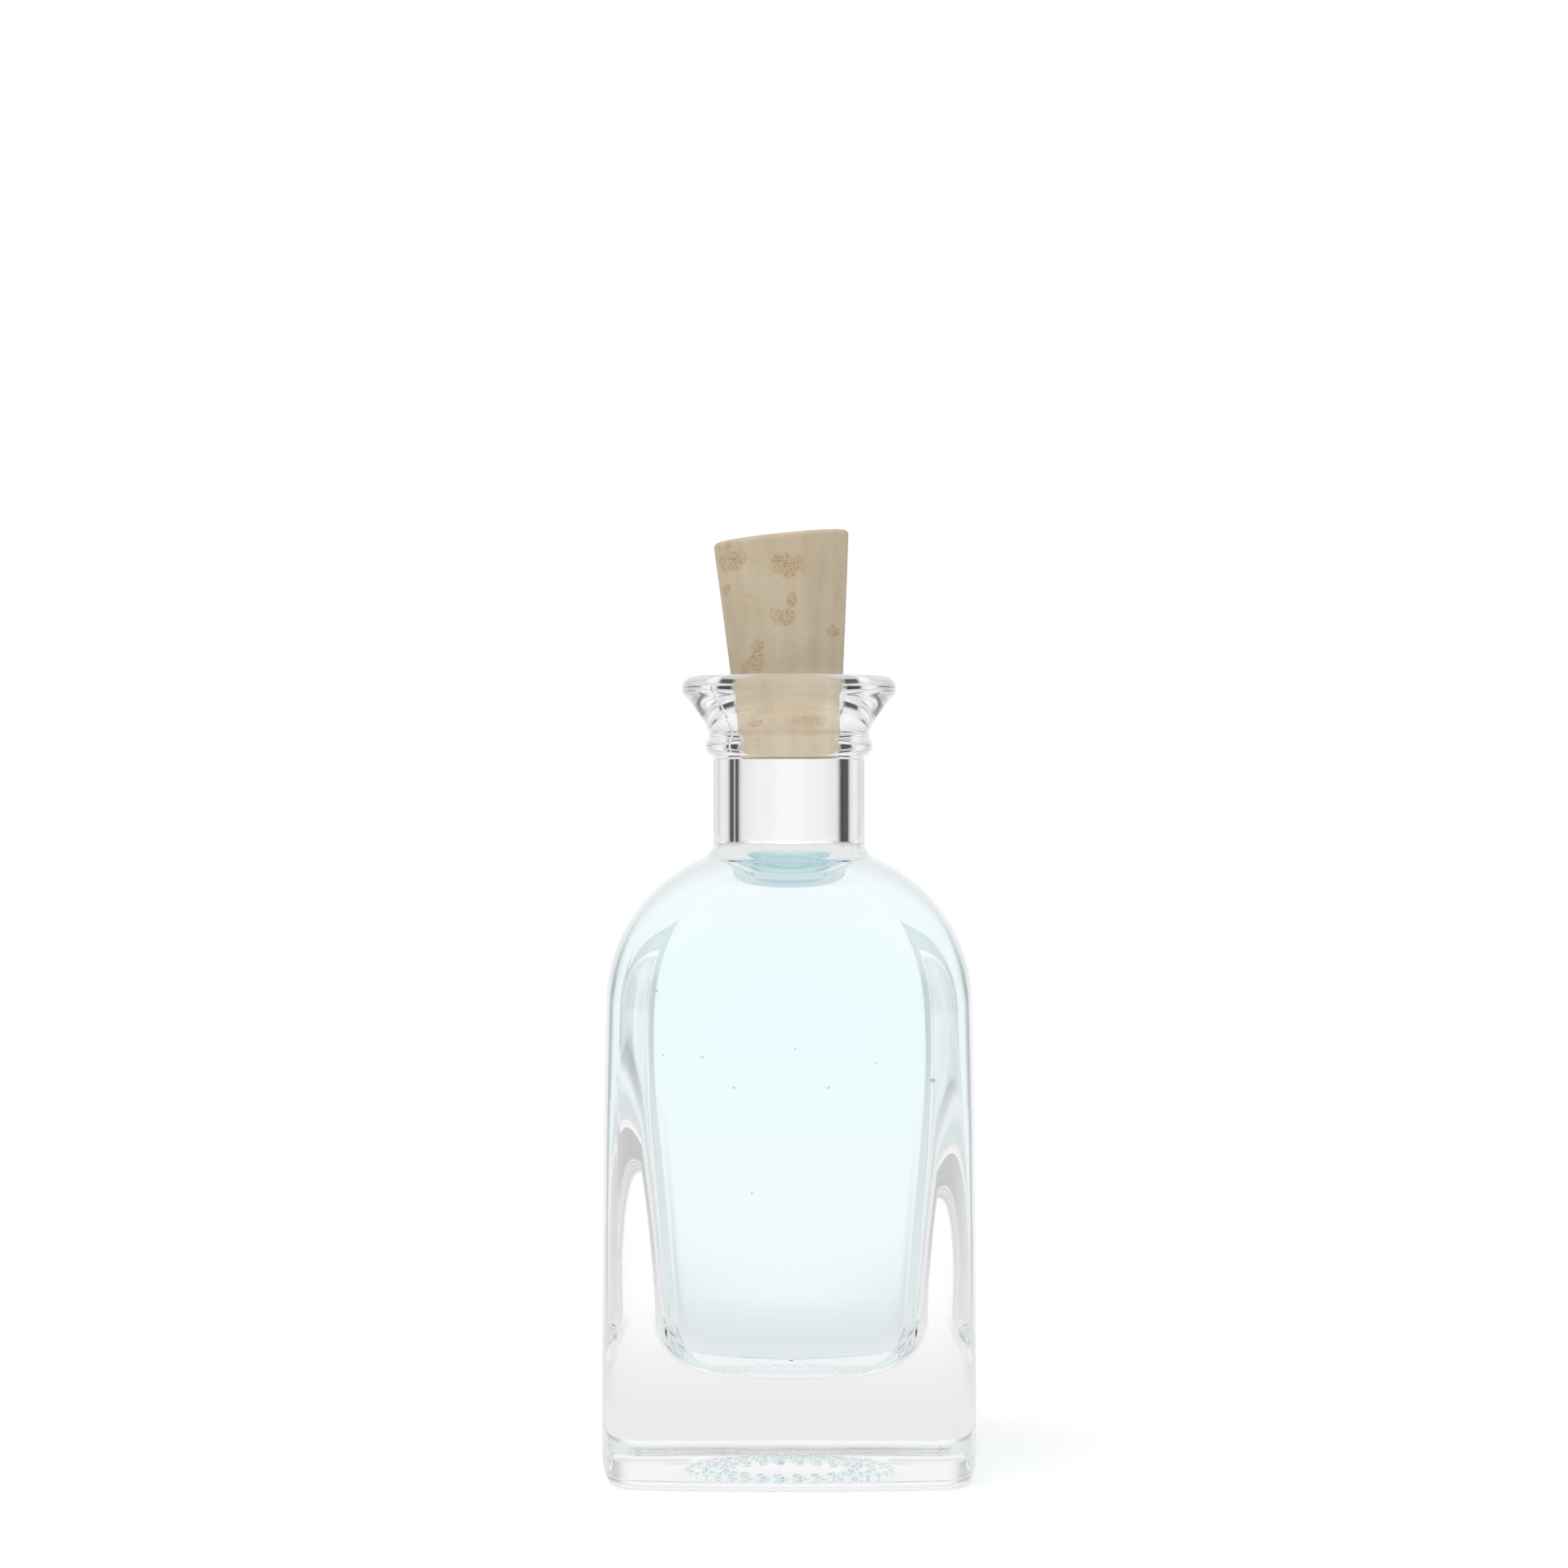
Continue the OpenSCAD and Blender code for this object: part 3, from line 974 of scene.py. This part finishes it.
@dataclass
class CorkStopper:
    """Tapered cork that leans in the mouth, with a top cut at a slant."""

    low_x: float = 0.1663
    low_z: float = 77.6065
    low_r: float = 5.4537
    length: float = 24.0
    taper: float = 4.7
    lean: float = 2.5
    slant: float = 3.4
    slant_share: float = 1.0 / 3.0
    low_edge: float = 0.4
    top_edge: float = 0.5
    pole_r: float = 0.2
    columns: int = 256

    def build(self) -> None:
        """Rings along the cork's own axis, sheared at the top and then leaned in place."""
        phi = np.linspace(0.0, 2.0 * math.pi, self.columns, endpoint=False)
        top_r = self.low_r + self.length * math.tan(math.radians(self.taper))
        low_x, top_x = self.low_r - self.low_edge, top_r - self.top_edge
        top_h = self.length - self.top_edge
        path = joined(
            line((self.pole_r, 0.0), (low_x, 0.0), steps=16),
            arc((low_x, self.low_edge), self.low_edge, -90.0, 0.0, steps=8),
            line((self.low_r, self.low_edge), (top_r, top_h), steps=120),
            arc((top_x, top_h), self.top_edge, 0.0, 90.0, steps=8),
            line((top_x, self.length), (self.pole_r, self.length), steps=20))
        points = ring_stack(path[:, 0, None, None] * unit_circle(phi), path[:, 1])
        share = smooth((path[:, 1, None] / self.length - 1.0) / self.slant_share + 1.0)
        points[..., 2] += share * points[..., 0] * math.tan(math.radians(self.slant))
        lean = np.array(Matrix.Rotation(math.radians(-self.lean), 3, "Y"))
        points = points @ lean.T + np.array([self.low_x, 0.0, self.low_z])
        piece = grid_object("cork_tapered", [Grid(points)])
        piece.data.materials.append(NaturalCork().make())
        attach(piece, Body.CORK.value)
        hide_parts("cork_stopper")


# The studio


@dataclass(frozen=True)
class Lamp:
    """A round soft lamp: its name, place and width in metres, and its power in watts."""

    name: str
    place: Triple
    size: float
    power: float

    def build(self, aim: Triple) -> None:
        """Sets the lamp up, unseen in the glass.

        Args:
            aim: Point that it shines at, in metres.
        """
        data = bpy.data.lights.new(self.name, "AREA")
        data.shape, data.size, data.energy = "DISK", self.size, self.power
        made = put(self.name, data)
        made.location = self.place
        made.rotation_euler = (Vector(aim) - Vector(self.place)).to_track_quat("-Z", "Y").to_euler()
        made.visible_glossy = made.visible_transmission = False


@dataclass
class Studio:
    """Camera, pale floor, soft lamps and a white backdrop between two dark cards.

    The camera sees pure white round the bottle. Glass sees the surroundings instead: their
    brightness by the angle in degrees from straight behind the bottle, the cards at the
    height of the neck, a painted shade on the paper near its foot, and a dimmer ceiling. Names
    that end in z and hold a pair are the upward parts of two directions, and what is named sets
    in between them.
    """

    camera_x: float = -0.56
    camera_y: float = -429.0
    camera_z: float = 74.36
    focal_px: float = 4800.0
    sensor_mm: float = 36.0
    level_about: tuple[Pair, ...] = (
        (0.0, 1.05), (20.0, 1.04), (30.0, 0.95), (38.0, 0.84), (42.0, 0.47), (47.0, 0.02),
        (75.0, 0.02), (85.0, 0.57), (140.0, 0.57), (160.0, 0.95), (180.0, 0.95),
    )
    low_about: tuple[Pair, ...] = (
        (0.0, 1.05), (14.0, 1.04), (20.0, 0.92), (26.0, 0.66), (34.0, 0.55), (50.0, 0.55),
        (75.0, 0.62), (85.0, 0.57), (115.0, 0.57), (140.0, 0.65), (160.0, 0.9), (180.0, 0.9),
    )
    brightest: float = 2.0
    card_r: float = 150.0
    card_foot: Pair = (55.0, 60.0)
    card_head: Pair = (95.0, 130.0)
    horizon: float = 0.91
    horizon_z: Pair = (-0.05, 0.0)
    sky: float = 0.8
    sky_z: Pair = (0.12, 0.35)
    zenith: float = 0.95
    zenith_z: Pair = (0.45, 0.8)
    ambient: float = 0.8
    relit: float = 2.6
    # Painted shade: the floor's brightness near the bottle's foot, as glass sees it
    paper: float = 0.84
    paper_tint: Colour = (1.0, 0.985, 0.99, 1.0)
    paper_matt: float = 0.8
    paper_lift: float = 0.22
    paper_r: float = 240.0
    paper_z: float = -0.05
    # Radii in mm: the painted shade holds within the first, and the backdrop's painted bands take
    # over by the second
    foot_shade_r: float = 30.0
    painted_bands_r: float = 180.0
    columns: int = 128
    bounces: int = 64
    aim: Triple = (0.0, 0.0, 0.05)
    lamps: tuple[Lamp, ...] = (
        Lamp("lamp_top", (-0.25, -0.2, 0.7), 0.6, 2.2),
        Lamp("lamp_front", (0.3, -0.6, 0.3), 0.4, 0.5),
    )

    def camera(self) -> None:
        """Level camera at the photograph's height and distance."""
        data = bpy.data.cameras.new("camera")
        data.sensor_width = self.sensor_mm
        data.lens = self.sensor_mm * self.focal_px / PHOTO_SIDE_PX
        data.clip_start, data.clip_end = 0.01, 20.0
        made = put("camera", data)
        made.location = (self.camera_x * MM, self.camera_y * MM, self.camera_z * MM)
        made.rotation_euler = (math.pi / 2.0, 0.0, 0.0)
        bpy.context.scene.camera = made

    def surroundings(self, tree: NodeTree, xyz: Node, stops: tuple[Pair, ...]) -> Node:
        """Brightness of the backdrop and cards by azimuth: |atan2(x, y)| over half a turn.

        Args:
            tree: Node tree of the world or material.
            xyz: Separate XYZ node of the direction or place.
            stops: Angles in degrees, each with its brightness.

        Returns:
            The brightness's node.
        """
        turn = node(tree, MATH, {"operation": "ARCTAN2"}, i0=xyz.outputs["X"], i1=xyz.outputs["Y"])
        off = node(tree, MATH, {"operation": "ABSOLUTE"}, i0=turn)
        share = node(tree, MATH, {"operation": "DIVIDE"}, i0=off, i1=math.pi)
        bands = node(tree, "ShaderNodeValToRGB", Fac=share)
        # A ramp's colours end at 1, so it holds shares of the brightest value
        set_stops(bands, [(angle / 180.0, grey(value / self.brightest)) for angle, value in stops])
        return node(tree, MATH, TIMES, i0=bands, i1=self.brightest)

    @staticmethod
    def seen_in_glass(tree: NodeTree, path: Node) -> Node:
        """Whether a ray comes from a mirrored image or from one seen through glass."""
        return node(tree, MATH, {"operation": "MAXIMUM"}, i0=path.outputs["Is Glossy Ray"],
                    i1=path.outputs["Is Transmission Ray"])

    def world(self) -> None:
        """White world for the camera, the backdrop for glass, and light for matt surfaces."""
        world = bpy.data.worlds.new("studio")
        bpy.context.scene.world = world
        world.use_nodes = True
        tree = world.node_tree
        tree.nodes.clear()
        way = node(tree, "ShaderNodeTexCoord").outputs["Generated"]
        xyz = node(tree, "ShaderNodeSeparateXYZ", Vector=way)
        level = node(tree, RANGE, SMOOTHSTEP, Value=xyz.outputs["Z"],
                     To_Min=1.0, To_Max=self.horizon, **span(self.horizon_z))
        low = self.surroundings(tree, xyz, self.low_about)
        around = node(tree, MATH, TIMES, i0=low, i1=level)
        above = node(tree, RANGE, SMOOTHSTEP, Value=xyz.outputs["Z"], **span(self.sky_z))
        steep = node(tree, RANGE, SMOOTHSTEP, Value=xyz.outputs["Z"],
                     To_Min=self.sky, To_Max=self.zenith, **span(self.zenith_z))
        domed = node(tree, "ShaderNodeMix", i0=above, i2=around, i3=steep)
        path = node(tree, "ShaderNodeLightPath")
        room = node(tree, "ShaderNodeMix", i0=self.seen_in_glass(tree, path), i2=self.ambient,
                    i3=domed)
        # Light that reaches a matt surface through the glass also stands in for the lamps
        matt = node(tree, MATH, {"operation": "GREATER_THAN"},
                    i0=path.outputs["Diffuse Depth"], i1=0.5)
        inside = node(tree, MATH, TIMES, i0=matt, i1=path.outputs["Is Transmission Ray"])
        relit = node(tree, "ShaderNodeMix", i0=inside, i2=room, i3=self.relit)
        seen = node(tree, "ShaderNodeMix", i0=path.outputs["Is Camera Ray"], i2=relit, i3=1.0)
        back = node(tree, "ShaderNodeBackground", Color=grey(1.0), Strength=seen)
        node(tree, "ShaderNodeOutputWorld", Surface=back)

    def round_mesh(self, name: str, radius: float, heights: tuple[float, ...],
                   faces: list[list[int]], material: Material) -> Object:
        """Object of one or more circles of points about the axis.

        Args:
            name: Name of the object and its mesh.
            radius: Radius of the circles in mm.
            heights: Height of each circle in mm.
            faces: Corners of each face.
            material: Its material.

        Returns:
            The new object, at the origin.
        """
        turns = np.linspace(0.0, 2.0 * math.pi, self.columns, endpoint=False)
        rim = np.broadcast_to(unit_circle(turns) * radius, (len(heights), self.columns, 2))
        points = ring_stack(rim, np.array(heights)).reshape(-1, 3) * MM
        mesh = bpy.data.meshes.new(name)
        mesh.from_pydata(points.tolist(), [], faces)
        mesh.materials.append(material)
        return put(name, mesh)

    def floor(self) -> None:
        """Pale floor: white to the camera but for the shadow; to glass, painted light like the
        backdrop at its rim.
        """
        made, tree = new_material("white_paper_painted_shade")
        path = node(tree, "ShaderNodeLightPath")
        paper = node(tree, "ShaderNodeBsdfDiffuse", Color=grey(self.paper_matt))
        lift = node(tree, MATH, TIMES, i0=path.outputs["Is Camera Ray"], i1=self.paper_lift)
        glow = node(tree, "ShaderNodeEmission", Color=grey(1.0), Strength=lift)
        lit = node(tree, "ShaderNodeAddShader", i0=paper, i1=glow)
        # To glass the floor glows by itself as painted light: a painted shade near the bottle's
        # foot, turning farther out into the backdrop's dark bands painted on by azimuth
        where = node(tree, "ShaderNodeTexCoord").outputs["Object"]
        away = node(tree, "ShaderNodeVectorMath", {"operation": "LENGTH"}, i0=where)
        far = node(tree, RANGE, SMOOTHSTEP, Value=away.outputs["Value"],
                   **span((self.foot_shade_r, self.painted_bands_r), MM))
        xyz = node(tree, "ShaderNodeSeparateXYZ", Vector=where)
        around = self.surroundings(tree, xyz, self.low_about)
        tone = node(tree, "ShaderNodeMix", i0=far, i2=self.paper, i3=around)
        painted_floor_glow = node(tree, "ShaderNodeEmission", Color=self.paper_tint, Strength=tone)
        whole = node(tree, "ShaderNodeMixShader", i0=self.seen_in_glass(tree, path),
                     i1=lit, i2=painted_floor_glow)
        node(tree, "ShaderNodeOutputMaterial", Surface=whole)
        disc = [list(range(self.columns))]
        floor = self.round_mesh("floor", self.paper_r, (self.paper_z,), disc, made)

    def cards(self) -> None:
        """Ring of backdrop at the neck's height with two dark cards, seen only in glass."""
        made, tree = new_material("studio_cards")
        where = node(tree, "ShaderNodeTexCoord").outputs["Object"]
        xyz = node(tree, "ShaderNodeSeparateXYZ", Vector=where)
        around = self.surroundings(tree, xyz, self.level_about)
        dim = node(tree, MATH, TIMES, i0=around, i1=self.horizon)
        glow = node(tree, "ShaderNodeEmission", Color=grey(1.0), Strength=dim)
        foot = node(tree, RANGE, SMOOTHSTEP, Value=xyz.outputs["Z"], **span(self.card_foot, MM))
        head = node(tree, RANGE, SMOOTHSTEP, Value=xyz.outputs["Z"],
                    To_Min=1.0, To_Max=0.0, **span(self.card_head, MM))
        tall = node(tree, MATH, TIMES, i0=foot, i1=head)
        # Matt surfaces are lit past the ring, by the world
        path = node(tree, "ShaderNodeLightPath")
        shiny = node(tree, MATH, {"operation": "LESS_THAN"},
                     i0=path.outputs["Diffuse Depth"], i1=0.5)
        there = node(tree, MATH, TIMES, i0=tall, i1=shiny)
        clear = node(tree, "ShaderNodeBsdfTransparent")
        whole = node(tree, "ShaderNodeMixShader", i0=there, i1=clear, i2=glow)
        node(tree, "ShaderNodeOutputMaterial", Surface=whole)
        a = np.arange(self.columns)
        b = np.roll(a, -1)
        quads = np.stack([a, b, b + self.columns, a + self.columns], 1).tolist()
        ends = (self.card_foot[0], self.card_head[1])
        cards = self.round_mesh("cards", self.card_r, ends, quads, made)
        cards.visible_camera = cards.visible_diffuse = cards.visible_shadow = False

    def build(self) -> None:
        """Sets the whole studio up, with enough bounces for light to cross both walls."""
        self.camera()
        self.world()
        self.floor()
        self.cards()
        for lamp in self.lamps:
            lamp.build(self.aim)
        bpy.context.scene.view_settings.view_transform = "Standard"
        cycles = bpy.context.scene.cycles
        cycles.max_bounces = cycles.transmission_bounces = cycles.glossy_bounces = self.bounces


def main() -> None:
    """Builds the studio and the bottle, in order."""
    logging.basicConfig(level=logging.INFO, format="%(name)s: %(message)s")
    Studio().build()
    glass = GlassBottle()
    glass.build()
    BlueLiquid(glass).build()
    CorkStopper().build()


if __name__ == "__main__":
    main()
